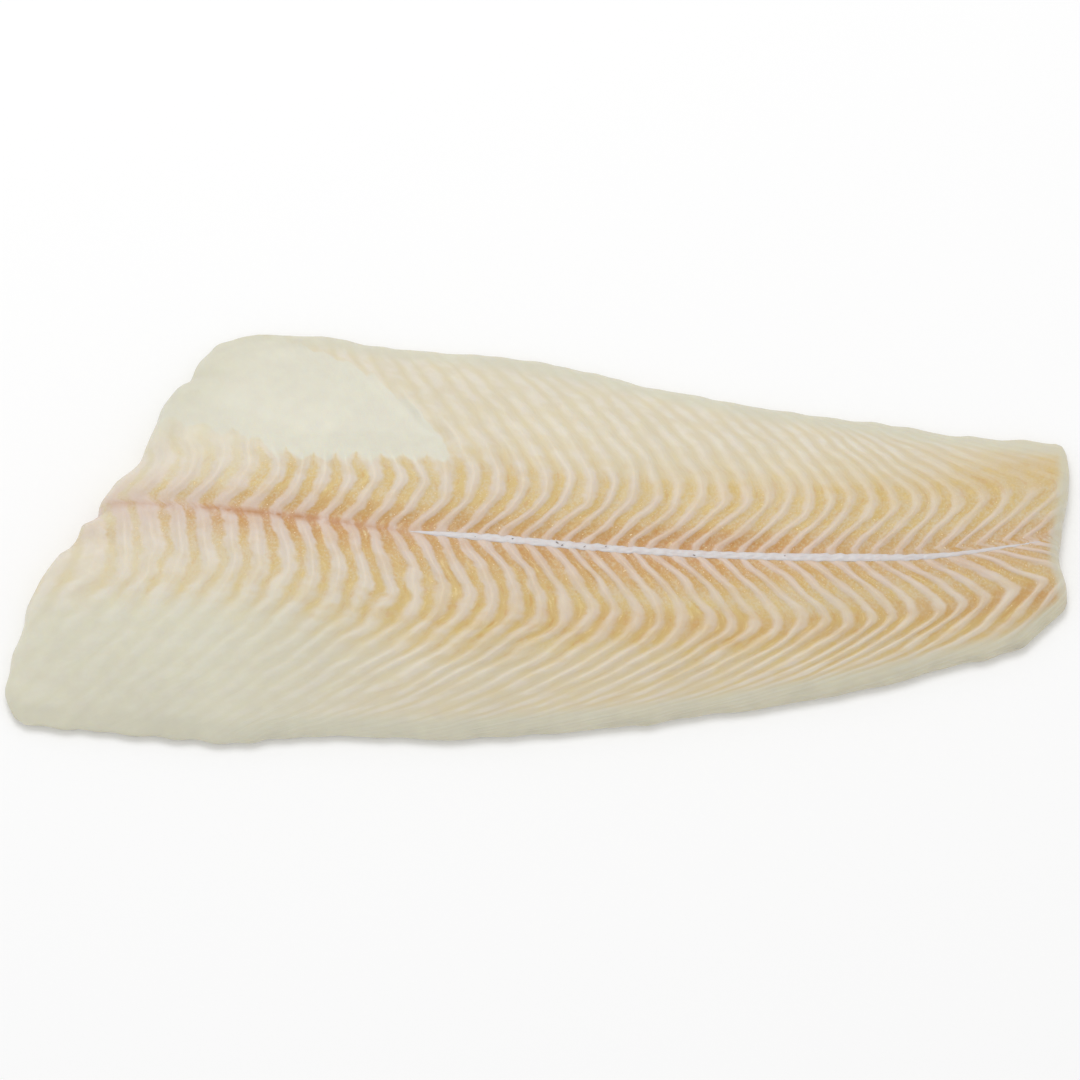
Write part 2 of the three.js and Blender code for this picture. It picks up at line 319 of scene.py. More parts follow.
def topHeight(x, y, across, line, fromHead, fromTail):
    share = np.minimum(1, np.abs(across))
    section = (1 - share ** flesh["sectionFullness"]) ** flesh["sectionShoulder"]
    away = y - curveAt(flesh["midline"], x)
    groove = 1 - flesh["grooveDepth"] * np.exp(-(away / flesh["grooveWidth"]) ** 2)
    flap = 1 - flesh["flapDrop"] * liningShare(x, y, bands)
    ends = rounding(fromHead, flesh["headCutRound"]) * rounding(fromTail, flesh["tailCutRound"])
    a, b, c, d = flesh["swellLengths"]
    swell = flesh["swell"] * np.sin(x / a + y / b) * np.sin(y / c - x / d)
    body = (curveAt(flesh["crestHeight"], x) - flesh["edgeHeight"]) * groove * flap + swell
    return flesh["edgeHeight"] + (body * section + ridgeHeight(x, y, across, line)) * ends


def slant(cut, y):
    # distance along a row for one millimetre straight in from a slanting cut
    step = flesh["slantReach"]
    return np.hypot(1, (curveAt(cut, y + step) - curveAt(cut, y - step)) / (2 * step))


def acrossRows():
    even = np.linspace(-1, 1, 2 * flesh["rowsPerSide"] + 1)
    crowded = np.sin(math.pi / 2 * even)
    return even + (crowded - even) * flesh["rowCrowding"]


def topSheet():
    # x, y, z, across and line of every point, one row of the array for each row of the mesh
    across = acrossRows()[:, None]
    head = cutX(flesh["headCut"], flesh["headCutReach"], across)
    tail = cutX(flesh["tailCut"], flesh["tailCutReach"], across)
    headSlant = slant(flesh["headCut"], rowY(head, across))
    tailSlant = slant(flesh["tailCut"], rowY(tail, across))
    steps = np.array(flesh["rimSteps"])
    headRim = head + steps * headSlant
    tailRim = tail - steps[::-1] * tailSlant
    low, high = bands["lineNumbers"]
    lines = np.concatenate([n + np.array(flesh["columnsInBand"]) for n in range(low, high + 1)])
    between = lineX(lines[None, :], across)
    first, final = headRim[:, -1:], tailRim[:, :1]
    early = between < first + flesh["snap"]
    late = between > final - flesh["snap"]
    between = np.where(early, first, np.where(late, final, between))
    lateLine = np.where(late, lineAt(final, across), lines)
    betweenLine = np.where(early, lineAt(first, across), lateLine)
    x = np.hstack([headRim, between, tailRim])
    line = np.hstack([lineAt(headRim, across), betweenLine, lineAt(tailRim, across)])
    across = np.broadcast_to(across, x.shape)
    y = rowY(x, across)
    line = wandered(line, np.abs(y - curveAt(flesh["midline"], x)), across)
    z = topHeight(x, y, across, line, (x - head) / headSlant, (tail - x) / tailSlant)
    return x, y, z, across, line


# Where each colour of the flesh shows. Each row of the tables for the belly and back sides
# is a distance from the midline and a curve of (along the fish, amount), and the other curves
# go along the fish, or outwards from the midline where they start at 0. seam is dark blood
# and fat pale tissue right on the midline. The flanks are the smooth outer layer at the rim,
# with painted shade in their greyer, darker colour where the edges round off; along the head
# cut the flank colour is painted shade only.
tint = {
    "goldBelly": [
        (0, [(-150, 0.3), (-110, 0.75), (-60, 1), (180, 0.85)]),
        (9, [(-150, 0.2), (-110, 0.55), (-80, 1), (60, 0.82), (180, 0.62)]),
        (17, [(-150, 0.05), (-110, 0.4), (-85, 0.85), (20, 0.85), (180, 0.78)]),
        (25, [(-110, 0.15), (-80, 0.55), (-30, 0.75), (60, 0.75), (180, 0.8)]),
        (30, [(-110, 0.05), (-80, 0.25), (-30, 0.5), (20, 0.4), (130, 0.5), (180, 0.75)]),
        (36, [(-60, 0.05), (-25, 0.28), (60, 0.22), (130, 0.3), (180, 0.5)]),
        (46, [(-60, 0.08), (-20, 0.15), (60, 0.12), (180, 0.2)]),
        (70, [(-90, 0.12), (-20, 0.1), (0, 0.05), (180, 0.05)]),
    ],
    "goldBack": [
        (0, [(-160, 0.25), (-110, 0.7), (-60, 1), (60, 0.95), (180, 0.8)]),
        (9, [(-160, 0.22), (-110, 0.6), (-60, 1), (60, 0.95), (180, 0.75)]),
        (17, [(-160, 0.25), (-90, 0.65), (-40, 1), (60, 0.7), (120, 0.68), (180, 0.95)]),
        (25, [(-170, 0.15), (-90, 0.68), (-20, 1.1), (60, 1.15), (180, 1)]),
        (32, [(-180, 0.2), (-130, 0.5), (-90, 0.75), (-10, 1.05), (60, 1), (100, 0.78), (180, 0.7)]),
        (40, [(-180, 0.05), (-130, 0.15), (-90, 0.35), (-30, 0.65), (10, 0.55), (100, 0.6),
              (180, 0.75)]),
        (50, [(-180, 0), (-60, 0.2), (60, 0.45), (180, 0.5)]),
        (75, [(-180, 0), (0, 0.15), (180, 0.3)]),
    ],
    "rustBelly": [
        (0, [(-150, 0.2), (-110, 0.5), (-30, 0.8), (0, 0.8), (60, 1), (90, 0.9), (120, 0.5),
             (180, 0.55)]),
        (6, [(-150, 0), (-120, 0.2), (-30, 0.5), (0, 0.4), (60, 0.75), (90, 0.55), (120, 0.35),
             (180, 0.4)]),
        (12, [(-110, 0), (-30, 0.1), (50, 0.15), (120, 0.1), (180, 0.1)]),
        (20, [(-110, 0), (180, 0.1)]),
    ],
    "rustBack": [
        (0, [(-150, 0.1), (-105, 0.9), (-80, 0.95), (-30, 0.65), (0, 0.8), (50, 0.9), (100, 0.5),
             (180, 0.45)]),
        (6, [(-150, 0), (-105, 0.55), (-80, 0.62), (-50, 0.5), (0, 0.6), (60, 0.6), (100, 0.35),
             (180, 0.35)]),
        (12, [(-110, 0.15), (0, 0.3), (40, 0.38), (110, 0.1), (180, 0.18)]),
        (20, [(-110, 0), (-30, 0.1), (20, 0.05), (60, 0), (100, 0.05), (140, 0.4), (180, 0.6)]),
        (27, [(-110, 0), (-30, 0.05), (30, 0.25), (90, 0.25), (130, 0.1), (180, 0.12)]),
        (36, [(-110, 0), (180, 0.05)]),
    ],
    # as a share of gold
    "lineTan": [(-110, 0.2), (-40, 0.42), (0, 0.6), (60, 0.65), (110, 0.5), (180, 0.45)],
    "rosy": [(0, 0.8), (8, 0.5), (16, 0.2), (30, 0)],
    # half the width of a line, as a share of a band
    "lineShareBelly": [
        (0, [(-150, 0.3), (-60, 0.21), (180, 0.19)]),
        (10, [(-150, 0.36), (-60, 0.23), (180, 0.21)]),
        (22, [(-150, 0.36), (-60, 0.27), (180, 0.23)]),
        (40, [(-150, 0.34), (180, 0.26)]),
    ],
    "lineShareBack": [
        (0, [(-150, 0.32), (-60, 0.26), (180, 0.23)]),
        (10, [(-150, 0.34), (-60, 0.25), (180, 0.21)]),
        (22, [(-150, 0.34), (-60, 0.29), (180, 0.23)]),
        (40, [(-150, 0.3), (180, 0.26)]),
    ],
    "lineSoft": [(0, 0.08), (12, 0.1), (24, 0.13), (40, 0.19)],
    # how much of a line is left at its faintest
    "unbroken": [(0, 0.75), (20, 0.7), (34, 0.5), (50, 0.3)],
    "grainy": [(0, 1), (10, 0.85), (20, 0.55), (32, 0.2), (50, 0.1)],
    "napeCalms": 0.7,            # share of the grain that is lost at the nape
    "seam": [(-165, 0.3), (-130, 0.4), (-110, 0.9), (-85, 1), (-60, 0.6), (-45, 0.3), (-30, 0)],
    "seamWidth": 1.3,
    "fat": [(-165, 0.7), (-110, 0.4), (-60, 0.2), (0, 0.2), (130, 0.2), (155, 0.45), (180, 0.5)],
    "fatWidth": 2.6,
    # flank bands: the smooth outer layer, with painted shade where the edges round off
    "backFlank": (8, 4),         # starts this far off the edge, and is full this far off
    "bellyFlank": (9, 3),
    # painted shade: a darker band along the rounded head cut, on the belly side only
    "headCutShade": (30, 3),
    "headCutShadeAcross": (28, 50),
    "tailFlank": (6, 2),
    # the lining's colour reaches a little past the smooth hollow
    "liningStart": [(-150, 42), (-118, 31), (-104, 28), (-92, 21), (-84, 19)],
    "liningEnd": [(25, -21), (48, -42), (63, -60), (72, -78), (79, -97)],
    "liningFade": 12,
    "liningPinch": 0.2,          # how far the lining narrows the muscle between its lines
    "liningPinchEnds": (0.05, 0.6),
}


def fleshTints(x, y, across, line):
    away = np.abs(y - curveAt(flesh["midline"], x))
    edge = np.where(across > 0, curveAt(flesh["bellyEdge"], x), curveAt(flesh["backEdge"], x))
    fromEdge = np.abs(edge - y)
    fromTail = curveAt(flesh["tailCut"], y) - x
    fromHead = x - curveAt(flesh["headCut"], y)
    # painted shade along the rounded head cut, laid on with the flank colour
    paintedHeadShade = smooth(*tint["headCutShade"], fromHead) * smooth(*tint["headCutShadeAcross"], y)
    lining = liningShare(x, y, tint)
    nape = napeShare(x, y)
    gold = bothSides(tint, "gold", x, away, across)
    share = bothSides(tint, "lineShare", x, away, across)
    sides = [smooth(*tint[side], fromEdge) for side in ("bellyFlank", "backFlank")]
    flankAndEdgeShade = np.where(across > 0, *sides)
    return {
        "line": line,
        "out": away * np.sign(across),
        "gold": gold,
        "rust": bothSides(tint, "rust", x, away, across),
        "lineTan": gold * curveAt(tint["lineTan"], x),
        "rosy": curveAt(tint["rosy"], away),
        "lineShare": share + tint["liningPinch"] * smooth(*tint["liningPinchEnds"], lining),
        "lineSoft": curveAt(tint["lineSoft"], away),
        "plain": bothSides(bands, "plain", x, away, across),
        "unbroken": curveAt(tint["unbroken"], away),
        "grainy": curveAt(tint["grainy"], away) * (1 - tint["napeCalms"] * nape),
        "lining": lining,
        "nape": nape,
        "seam": curveAt(tint["seam"], x) * np.exp(-(away / tint["seamWidth"]) ** 2),
        "fat": curveAt(tint["fat"], x) * np.exp(-(away / tint["fatWidth"]) ** 2),
        # the flank colour: the smooth outer layer, and painted shade at the rounded edges and the head cut
        "flankAndEdgeShade": np.maximum.reduce([flankAndEdgeShade, smooth(*tint["tailFlank"], fromTail), paintedHeadShade]),
    }


def addAttribute(mesh, name, values):
    attribute = mesh.attributes.new(name, "FLOAT", "POINT")
    attribute.data.foreach_set("value", np.asarray(values, np.float32).ravel())


def startFresh():
    if bpy.context.object and bpy.context.object.mode != "OBJECT":
        bpy.ops.object.mode_set(mode="OBJECT")
    bpy.ops.object.select_all(action="DESELECT")


def addSheet(name, x, y, z):
    # a grid is added and each of its points is pushed to its place
    startFresh()
    rows, columns = x.shape
    bpy.ops.mesh.primitive_grid_add(x_subdivisions=columns - 1, y_subdivisions=rows - 1, size=1)
    piece = bpy.context.object
    piece.name = piece.data.name = name
    points = np.stack([x, y, z], -1).reshape(-1, 3) * mm
    piece.data.vertices.foreach_set("co", points.astype(np.float32).ravel())
    piece.data.update()
    return piece


def heightsOf(mesh):
    points = np.empty(len(mesh.vertices) * 3, np.float32)
    mesh.vertices.foreach_get("co", points)
    return points[2::3] / mm


def addDents(piece, name, size, strength, group=""):
    texture = bpy.data.textures.get(name) or bpy.data.textures.new(name, "CLOUDS")
    texture.noise_scale = size * mm
    dents = piece.modifiers.new(name, "DISPLACE")
    dents.texture = texture
    dents.texture_coords = "LOCAL"
    dents.direction = "Z"
    dents.mid_level = 0.5        # the texture's middle grey moves nothing
    dents.strength = strength * mm
    dents.vertex_group = group
    bpy.ops.object.modifier_apply(modifier=name)


def raggedEdge(x, y, across):
    # the knife leaves the outline a little uneven
    fromCut = np.minimum(x - curveAt(flesh["headCut"], y), curveAt(flesh["tailCut"], y) - x)
    nearCut = 1 - smooth(0, flesh["edgeReach"], fromCut)
    share = np.maximum(np.abs(across) ** flesh["edgePower"], nearCut)
    near = share > flesh["edgeLeast"]
    spots = np.stack([x[near], y[near]], -1) / flesh["edgeLength"]
    moved = []
    for side, layer in zip((x, y), flesh["edgeLayers"]):
        stray = np.zeros(x.shape)
        stray[near] = [noise.noise(Vector((a, b, layer))) for a, b in spots]
        moved.append(side + flesh["edgeStray"] * share * stray)
    return moved


def makeFlesh(x, y, z, across, line):
    edgeX, edgeY = raggedEdge(x, y, across)
    piece = addSheet("halibutFlesh", edgeX - centreX, edgeY - centreY, z)
    mesh = piece.data
    for name, amount in fleshTints(x, y, across, line).items():
        addAttribute(mesh, name, amount)
    bpy.ops.object.mode_set(mode="EDIT")
    bpy.ops.mesh.select_all(action="SELECT")
    bpy.ops.mesh.remove_doubles(threshold=flesh["weld"] * mm)
    bpy.ops.mesh.dissolve_degenerate(threshold=flesh["weld"] * mm / 2)
    bpy.ops.mesh.select_all(action="SELECT")
    # the sheet is extruded down in steps, each drawn in a little, and ends flat as the base
    halfX, halfY = np.ptp(x) / 2, np.ptp(y) / 2
    doneIn, doneShare = 0, 1
    for inset, share in flesh["wallSteps"]:
        bpy.ops.mesh.extrude_region_move()
        squeeze = [(half - inset) / (half - doneIn) for half in (halfX, halfY)]
        bpy.ops.transform.resize(value=(*squeeze, share / doneShare), center_override=(0, 0, 0))
        doneIn, doneShare = inset, share
    bpy.ops.mesh.select_all(action="SELECT")
    bpy.ops.mesh.normals_make_consistent(inside=False)
    bpy.ops.object.mode_set(mode="OBJECT")
    heights = heightsOf(mesh)
    addAttribute(mesh, "skinSide", 1 - smooth(*flesh["skinHeights"], heights))
    onTop = np.nonzero(heights > flesh["edgeHeight"] * flesh["dentsFrom"])[0]
    group = piece.vertex_groups.new(name="top")
    group.add([int(n) for n in onTop], 1, "REPLACE")
    addDents(piece, "softDents", flesh["unevenSize"], flesh["uneven"], "top")
    addDents(piece, "pores", flesh["poreSize"], flesh["pores"], "top")
    bpy.ops.object.shade_smooth_by_angle(angle=math.radians(flesh["smoothAngle"]))
    print("flesh:", len(mesh.vertices), "points,", len(mesh.polygons), "faces")
    return piece


# The white ribbon of tissue that runs down the midline, and the dark flecks on it.
ribbon = {
    "ends": (-45, 180),
    "width": [
        (-45, 0.5), (-34, 2), (-12, 2.8), (40, 2.7), (80, 2.7), (105, 2.9), (130, 2.5), (155, 1.6),
        (180, 0.5),
    ],
    "thickness": [(-45, 0.1), (-30, 0.45), (130, 0.45), (178, 0.12)],
    "step": 0.7,
    "points": 9,                 # across it
    "ragged": 0.4,               # how far its edges wander
    "raggedSize": 2.6,
    "raggedRows": (-7, 7),       # of the noise, one for each edge
    "lumps": 0.6,                # share of its thickness
    "lumpSize": 2.2,
    "lumpsAcross": 1.5,
    "lumpLayer": 3,
    "sunk": 0.1,                 # its edges, into the flesh
    "depth": 0.9,                # how far it goes into the flesh
    "smoothAngle": 50,
    # (along, off its middle, length)
    "flecks": [
        (-8.2, 0.3, 0.7), (7.6, 0.4, 1.3), (9.4, -0.4, 0.8), (17.3, -0.2, 1.1), (24.9, 0.5, 0.6),
        (56.2, -0.6, 1), (-21.5, -0.3, 0.6), (88.4, 0.3, 0.5),
    ],
    "fleckWidth": 0.45,
    "fleckVaries": 0.3,          # share of the width
    "fleckHeight": 0.3,
    "fleckPlace": 0.9,           # its middle, as a share of the ribbon's thickness
    "fleckTurn": 40,
    "fleckTurnPace": 2.3,        # how fast the turn changes along the ribbon
}
farFromCut = 99.0                # the head cut's rounding is over long before the ribbon starts


def fleshTopAt(x, y):
    # the top beside the midline, where no line stands up from it
    side = np.where(y > curveAt(flesh["midline"], x), 1, -1)
    edge = np.where(side > 0, curveAt(flesh["bellyEdge"], x), curveAt(flesh["backEdge"], x))
    middle = curveAt(flesh["midline"], x)
    across = (y - middle) / np.abs(edge - middle)
    tail = curveAt(flesh["tailCut"], y)
    far = np.full(x.shape, farFromCut)
    return topHeight(x, y, across, np.zeros(x.shape), far, tail - x)


def makeRibbon():
    start, end = ribbon["ends"]
    along = np.arange(start, end, ribbon["step"])[:, None]
    over = np.linspace(-1, 1, ribbon["points"])[None, :]
    wander, lumps = [], []
    for place in along[:, 0]:
        spot = place / ribbon["raggedSize"]
        wander.append([noise.noise(Vector((spot, row, 0))) for row in ribbon["raggedRows"]])
        spot, layer = place / ribbon["lumpSize"], ribbon["lumpLayer"]
        spread = over[0] * ribbon["lumpsAcross"]
        lumps.append([noise.noise(Vector((spot, row, layer))) for row in spread])
    half = curveAt(ribbon["width"], along) / 2
    stray = np.array(wander) * ribbon["ragged"] * np.minimum(1, half)
    low, high = stray[:, :1] - half, stray[:, 1:] + half
    off = (low + high) / 2 + over * (high - low) / 2
    rise = curveAt(ribbon["thickness"], along) * (1 + ribbon["lumps"] * np.array(lumps))
    x = np.broadcast_to(along, off.shape)
    y = curveAt(flesh["midline"], x) + off
    z = fleshTopAt(x, y) + rise * np.sqrt(np.maximum(0, 1 - over ** 2)) - ribbon["sunk"]
    piece = addSheet("septumRibbon", x - centreX, y - centreY, z)
    bpy.ops.object.mode_set(mode="EDIT")
    bpy.ops.mesh.select_all(action="SELECT")
    bpy.ops.mesh.extrude_region_move()
    bpy.ops.transform.translate(value=(0, 0, -ribbon["depth"] * mm))
    bpy.ops.mesh.select_all(action="SELECT")
    bpy.ops.mesh.normals_make_consistent(inside=False)
    bpy.ops.object.mode_set(mode="OBJECT")
    addDents(piece, "softDents", flesh["unevenSize"], flesh["uneven"])
    bpy.ops.object.shade_smooth_by_angle(angle=math.radians(ribbon["smoothAngle"]))
    print("ribbon:", len(piece.data.vertices), "points")
    return piece


def makeFlecks():
    # one ball a millimetre across, then a copy of it for each fleck, flattened
    startFresh()
    bpy.ops.mesh.primitive_ico_sphere_add(subdivisions=2, radius=0.5 * mm)
    ball = bpy.context.object
    copies = []
    for along, off, length in ribbon["flecks"]:
        x = np.array([along])
        y = curveAt(flesh["midline"], x) + off
        z = fleshTopAt(x, y) + curveAt(ribbon["thickness"], x) * ribbon["fleckPlace"]
        copy = ball.copy()
        copy.data = ball.data.copy()
        bpy.context.scene.collection.objects.link(copy)
        copy.location = (float(x[0] - centreX) * mm, float(y[0] - centreY) * mm, float(z[0]) * mm)
        width = ribbon["fleckWidth"] * (1 + ribbon["fleckVaries"] * math.sin(along))
        copy.scale = (length, width, ribbon["fleckHeight"])
        turn = math.radians(ribbon["fleckTurn"])
        copy.rotation_euler.z = turn * math.sin(along * ribbon["fleckTurnPace"])
        copies.append(copy)
    startFresh()
    bpy.data.objects.remove(ball)
    for copy in copies:
        copy.select_set(True)
    bpy.context.view_layer.objects.active = copies[0]
    bpy.ops.object.join()
    bpy.ops.object.transform_apply(location=True, rotation=True, scale=True)
    piece = bpy.context.object
    piece.name = piece.data.name = "pigmentFlecks"
    bpy.ops.object.shade_smooth_by_angle(angle=math.radians(flesh["smoothAngle"]))
    print("flecks:", len(copies))
    return piece


def linear(code):
    parts = [int(code[i:i + 2], 16) / 255 for i in (1, 3, 5)]
    return [c / 12.92 if c <= 0.04045 else ((c + 0.055) / 1.055) ** 2.4 for c in parts] + [1]


def addNode(tree, kind, inputs, output=0, **settings):
    # inputs holds values and outputs of other nodes, by the name or the place of the socket
    node = tree.nodes.new("ShaderNode" + kind)
    for name, value in settings.items():
        setattr(node, name, value)
    for socket, value in inputs.items():
        if isinstance(value, bpy.types.NodeSocket):
            tree.links.new(value, node.inputs[socket])
        else:
            node.inputs[socket].default_value = value
    return node.outputs[output]


def startMaterial(name, surface):
    # surface holds what is the same all over it, by the name of the shader's socket
    material = bpy.data.materials.new(name)
    material.use_nodes = True
    shader = material.node_tree.nodes["Principled BSDF"]
    for socket, value in surface.items():
        shader.inputs[socket].default_value = value
    return material, material.node_tree, shader


# Raw white fish muscle, cut by a knife and skinned: soft, half see-through and wet, so that
# it looks satin, with light a millimetre or two deep. A name in the tables stands for an
# attribute of the mesh, or for what an earlier row or rawMuscle itself has made.
fleshLook = {
    "surface": {
        "Roughness": 0.42,
        "IOR": 1.38,
        "Coat Weight": 0.3,
        "Coat Roughness": 0.2,
        "Coat IOR": 1.33,        # water
        "Subsurface Weight": 0.25,
        "Subsurface Radius": (1, 0.75, 0.45),
        "Subsurface Scale": 1.6 * mm,
    },
    "colours": {
        "muscle": "#dcd5bd",     # away from the midline
        "golden": "#d3b87b",     # fat muscle beside the midline
        "rusty": "#c28b51",      # red muscle on it
        "lightFibre": "#e4cd96",  # bundles of fibres with more and with less fat
        "deepFibre": "#c99650",
        # painted highlights: small bright specks where the wet flesh would catch the light
        "paintedGlint": "#f0dfb6",
        "line": "#e2dbcb",
        "lineTan": "#d7c1a6",
        "lineRosy": "#d9c2b4",
        "fat": "#dccdc4",
        "seam": "#ba8352",
        "nape": "#d7d6c3",
        "lining": "#dedbca",
        # the smooth outer layer, darker and greyer than the muscle as painted shade of the rounded edges
        "flankAndEdgeShade": "#d4d1bd",
        "skinSide": "#d6d2c4",
    },
    "zones": (
        "line", "out", "gold", "rust", "lineTan", "rosy", "lineShare", "lineSoft", "plain",
        "unbroken", "grainy", "lining", "nape", "seam", "fat", "flankAndEdgeShade", "skinSide",
    ),
    # size of a patch, and its detail. Real fibres are about 0.2 mm wide, and the grain is
    # drawn coarser, so that it shows.
    "patches": {"grain": (1.0, 2), "blotches": (5, 3), "mottle": (28, 4)},
    # the same for patches that run with the lines: how many for each band, length, detail
    "strips": {
        "streaks": (5, 5, 3), "jags": (2.5, 1.8, 3), "swellings": (1.3, 4, 2), "gaps": (0.8, 6, 2),
    },
    # a noise, and the middle and the reach of the amount that it is turned to
    "swings": {
        "jag": ("jags", 0, 0.055),         # of a band; how ragged the sides of a line are
        "lineSwell": ("swellings", 1, 0.55),
        "grainSwing": ("grain", 0, 1.1),
        "streakSwing": ("streaks", 1, 0.4),
        "blotchSwing": ("blotches", 1, 0.7),
        "liningFrom": ("blotches", 0.04, 0.25),  # share of the lining where it starts to show
        "hue": ("blotches", 0.5, 0.012),   # 0.5 changes nothing
        "brightBlotch": ("blotches", 1, 0.05),
        "brightMottle": ("mottle", 1, 0.06),
    },
    # how far the single lines, and the single bands between them, differ from each other
    "ownSwings": {"ownLine": ("ROUND", 0.12), "ownBand": ("FLOOR", 0.18)},
    # a noise, and where it starts to show and shows fully
    "eased": {
        "lightStreaks": ("streaks", 0.54, 0.72),
        "deepStreaks": ("streaks", 0.48, 0.32),
        # the glints are painted highlights, laid into the colour as specks
        "paintedGlints": ("grain", 0.64, 0.76),
        "fatPatches": ("streaks", 0.35, 0.6),
        "seamPatches": ("blotches", 0.3, 0.6),
    },
    "lineGaps": (0.35, 0.6),     # of the noise: where a line is faintest and where it is whole
    "products": [
        ("lineShare", ["lineShare", "lineSwell", "ownLine"]),
        ("lineStrength", ["wholeness", "plain"]),
        ("patchy", ["streakSwing", "blotchSwing", "grained"]),
        ("gold", ["gold", "patchy", "ownBand"]),
        ("rust", ["rust", "patchy"]),
        ("lightFibre", ["lightStreaks", "gold", 0.45]),
        ("deepFibre", ["deepStreaks", "gold", 0.5]),
        ("paintedGlint", ["paintedGlints", "grainy"]),
        ("fat", ["fat", "fatPatches"]),
        ("seam", ["seam", "seamPatches"]),
        ("nape", ["nape", 0.62]),
        # the flank colour is partly painted shade at the rounded edges
        ("flankAndEdgeShade", ["flankAndEdgeShade", 0.8]),
        ("skinSide", ["skinSide", 0.78]),  # the thin skin underneath hides most of the pattern
        ("brightness", ["brightMottle", "brightBlotch"]),
        ("fineGrain", ["grain", "grainy"]),
    ],
    "liningFringe": 0.85,        # how much later the lining starts between the lines
    "liningEdge": 0.25,
    # in turn: the colour that is changed, the one laid over it, and how much of that shows
    "layers": [
        ("muscle", "golden", "gold"),
        ("muscle", "rusty", "rust"),
        ("muscle", "lightFibre", "lightFibre"),
        ("muscle", "deepFibre", "deepFibre"),
        ("muscle", "paintedGlint", "paintedGlint"),
        ("line", "lineTan", "lineTan"),
        ("line", "lineRosy", "rosy"),
        ("muscle", "line", "lineMask"),
        ("muscle", "fat", "fat"),
        ("muscle", "seam", "seam"),
        ("muscle", "nape", "nape"),
        ("muscle", "lining", "lining"),
        ("muscle", "flankAndEdgeShade", "flankAndEdgeShade"),
        ("muscle", "skinSide", "skinSide"),
    ],
    "lineBump": 0.5,             # against 1 for the streaks and the grain
    "bumpStrength": 0.7,
    "bumpDepth": 0.15,
}


def rawMuscle():
    look = fleshLook
    material, tree, shader = startMaterial("raw halibut muscle, skinned and wet", look["surface"])
    made = {}
    for name in look["zones"]:
        made[name] = addNode(tree, "Attribute", {}, "Fac", attribute_name=name)
    place = addNode(tree, "TexCoord", {}, "Object")
    for name, (size, detail) in look["patches"].items():
        settings = {"Vector": place, "Scale": 1 / (size * mm), "Detail": detail}
        made[name] = addNode(tree, "TexNoise", settings)
    # x counts the lines and y is millimetres out from the midline
    course = addNode(tree, "CombineXYZ", {"X": made["line"], "Y": made["out"]})
    for name, (perBand, length, detail) in look["strips"].items():
        vector = addNode(tree, "VectorMath", {0: course, 1: (perBand, 1 / length, 0)}, operation="MULTIPLY")
        made[name] = addNode(tree, "TexNoise", {"Vector": vector, "Scale": 1, "Detail": detail})
    for name, (source, middle, reach) in look["swings"].items():
        terms = {0: made[source], 1: 2 * reach, 2: middle - reach}
        made[name] = addNode(tree, "Math", terms, operation="MULTIPLY_ADD")

    line = addNode(tree, "Math", {0: made["line"], 1: made["jag"]}, operation="ADD")
    offLine = addNode(tree, "Math", {0: line, 1: 0.5}, operation="PINGPONG")
    for name, (rounding, reach) in look["ownSwings"].items():
        number = addNode(tree, "Math", {0: line}, operation=rounding)
        own = addNode(tree, "TexWhiteNoise", {"W": number}, noise_dimensions="1D")
        made[name] = addNode(tree, "Math", {0: own, 1: 2 * reach, 2: 1 - reach}, operation="MULTIPLY_ADD")
    for name, (source, low, high) in look["eased"].items():
        ends = {"Value": made[source], "From Min": low, "From Max": high}
        made[name] = addNode(tree, "MapRange", ends, interpolation_type="SMOOTHSTEP")
    low, high = look["lineGaps"]
    ends = {"Value": made["gaps"], "From Min": low, "From Max": high, "To Min": made["unbroken"]}
    made["wholeness"] = addNode(tree, "MapRange", ends, interpolation_type="SMOOTHSTEP")
    terms = {0: made["grainSwing"], 1: made["grainy"], 2: 1}
    made["grained"] = addNode(tree, "Math", terms, operation="MULTIPLY_ADD")
    for name, (first, *others) in look["products"]:
        product = made[first]
        for factor in others:
            terms = {0: product, 1: made.get(factor, factor)}
            product = addNode(tree, "Math", terms, operation="MULTIPLY")
        made[name] = product

    # the lines, soft at their sides, and the lining, which starts first on the lines
    sides = {0: made["lineShare"], 1: made["lineSoft"]}
    inside = addNode(tree, "Math", sides, operation="SUBTRACT")
    outside = addNode(tree, "Math", sides, operation="ADD")
    ends = {"Value": offLine, "From Min": inside, "From Max": outside}
    ends.update({"To Min": made["lineStrength"], "To Max": 0})
    mask = addNode(tree, "MapRange", ends, interpolation_type="SMOOTHSTEP")
    made["lineMask"] = addNode(tree, "Math", {0: mask, 1: 1}, operation="MINIMUM")
    terms = {0: offLine, 1: look["liningFringe"], 2: made["liningFrom"]}
    start = addNode(tree, "Math", terms, operation="MULTIPLY_ADD")
    end = addNode(tree, "Math", {0: start, 1: look["liningEdge"]}, operation="ADD")
    ends = {"Value": made["lining"], "From Min": start, "From Max": end}
    made["lining"] = addNode(tree, "MapRange", ends, interpolation_type="SMOOTHSTEP")

    colours = {name: linear(code) for name, code in look["colours"].items()}
    for under, over, amount in look["layers"]:
        sockets = {0: made[amount], 6: colours[under], 7: colours[over]}
        colours[under] = addNode(tree, "Mix", sockets, 2, data_type="RGBA")
    colour = addNode(tree, "HueSaturation", {
        "Hue": made["hue"], "Value": made["brightness"], "Color": colours["muscle"]})
    terms = {0: made["lineMask"], 1: look["lineBump"], 2: made["streaks"]}
    height = addNode(tree, "Math", terms, operation="MULTIPLY_ADD")
    height = addNode(tree, "Math", {0: made["fineGrain"], 1: height}, operation="ADD")
    bump = addNode(tree, "Bump", {
        "Strength": look["bumpStrength"], "Distance": look["bumpDepth"] * mm, "Height": height})
    tree.links.new(colour, shader.inputs["Base Color"])
    tree.links.new(bump, shader.inputs["Normal"])
    print("muscle:", len(tree.nodes), "nodes")
    return material


